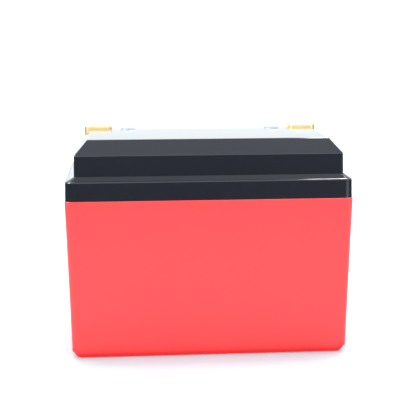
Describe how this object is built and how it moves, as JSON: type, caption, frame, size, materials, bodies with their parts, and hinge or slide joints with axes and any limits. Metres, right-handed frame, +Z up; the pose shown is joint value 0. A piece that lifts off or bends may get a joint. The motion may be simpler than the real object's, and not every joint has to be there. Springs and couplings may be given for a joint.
{
  "type": "motorcycle battery",
  "caption": "Rectangular sealed starter battery: tapered case, stepped hip-roofed lid, brass corner terminals with threaded bolts, and the cell pack, leads and balance board inside.",
  "frame": {"origin": "centre of the flat underside of the case, which rests in the battery tray", "axes": "+Z up, +X along the length towards the positive terminal, +Y towards the terminal side; the plain long side faces -Y"},
  "size_m": [0.15, 0.087, 0.1174],
  "materials": {
    "case_plastic": "smooth semi-gloss moulded red plastic",
    "lid_plastic": "high-gloss moulded black plastic",
    "seal_rubber": "soft silicone seal",
    "terminal_brass": "machined brass, satin with bright edges",
    "zinc_steel": "zinc-plated steel fasteners",
    "tinned_copper": "tinned copper lug",
    "red_lead": "red silicone cable",
    "black_lead": "black silicone cable",
    "cell_sleeve": "blue shrink sleeve over the can",
    "holder_plastic": "moulded black holder",
    "nickel_bar": "nickel strip",
    "foam": "closed-cell foam",
    "fibre_sheet": "pressed fibre insulating sheet",
    "board_laminate": "green glass-fibre laminate",
    "chip_plastic": "moulded chip bodies",
    "capacitor_can": "plain aluminium can",
    "header_plastic": "natural nylon",
    "plug_nylon": "pale moulded nylon",
    "lead_sleeve": "thin wire sleeves"
  },
  "bodies": {
    "battery": {"balance_controller": "chip_plastic", "balance_header": "header_plastic", "balance_leads": "lead_sleeve", "balance_plug": "header_plastic", "balance_resistors": "chip_plastic", "balance_transistors": "chip_plastic", "base_insulator": "fibre_sheet", "base_pad": "foam", "board_capacitors": "capacitor_can", "board_screws": "zinc_steel", "case": "case_plastic", "cell_1": "cell_sleeve", "cell_2": "cell_sleeve", "cell_3": "cell_sleeve", "cell_4": "cell_sleeve", "cell_5": "cell_sleeve", "cell_6": "cell_sleeve", "cell_7": "cell_sleeve", "cell_8": "cell_sleeve", "circuit_board": "board_laminate", "left_end_pad": "foam", "left_series_link": "nickel_bar", "lid": "lid_plastic", "lid_seal": "seal_rubber", "lower_cell_holder": "holder_plastic", "negative_busbar": "nickel_bar", "negative_lead": "black_lead", "negative_lug": "tinned_copper", "negative_shank_nut": "zinc_steel", "negative_shank_seal": "seal_rubber", "negative_shank_washer": "zinc_steel", "negative_terminal": "terminal_brass", "negative_vent_plug": "plug_nylon", "plain_side_pad": "foam", "positive_busbar": "nickel_bar", "positive_lead": "red_lead", "positive_lug": "tinned_copper", "positive_shank_nut": "zinc_steel", "positive_shank_seal": "seal_rubber", "positive_shank_washer": "zinc_steel", "positive_terminal": "terminal_brass", "positive_vent_plug": "plug_nylon", "right_end_pad": "foam", "right_series_link": "nickel_bar", "terminal_side_pad": "foam", "top_insulator": "fibre_sheet", "upper_cell_holder": "holder_plastic", "upper_series_link": "nickel_bar"},
    "positive_washers": {"positive_flat_washer": "zinc_steel", "positive_spring_washer": "zinc_steel"},
    "positive_bolt": {"positive_terminal_bolt": "zinc_steel"},
    "negative_washers": {"negative_flat_washer": "zinc_steel", "negative_spring_washer": "zinc_steel"},
    "negative_bolt": {"negative_terminal_bolt": "zinc_steel"}
  },
  "joints": [
    {"name": "positive_bolt_lift", "type": "slide", "parent": "battery", "child": "positive_washers", "axis": [0, 1, 0], "range_m": [0, 0.009]},
    {"name": "positive_bolt_turn", "type": "hinge", "parent": "positive_washers", "child": "positive_bolt", "pos_m": [0.0586, 0.0374, 0.1054], "axis": [0, 1, 0], "range_deg": [0, 3240.5]},
    {"name": "negative_bolt_lift", "type": "slide", "parent": "battery", "child": "negative_washers", "axis": [0, 1, 0], "range_m": [0, 0.009]},
    {"name": "negative_bolt_turn", "type": "hinge", "parent": "negative_washers", "child": "negative_bolt", "pos_m": [-0.0586, 0.0374, 0.1054], "axis": [0, 1, 0], "range_deg": [0, 3240.5]}
  ],
  "couplings": [
    {"joint": "positive_bolt_turn", "follows": "positive_bolt_lift", "rad_per_m": 6283.2},
    {"joint": "negative_bolt_turn", "follows": "negative_bolt_lift", "rad_per_m": 6283.2}
  ]
}
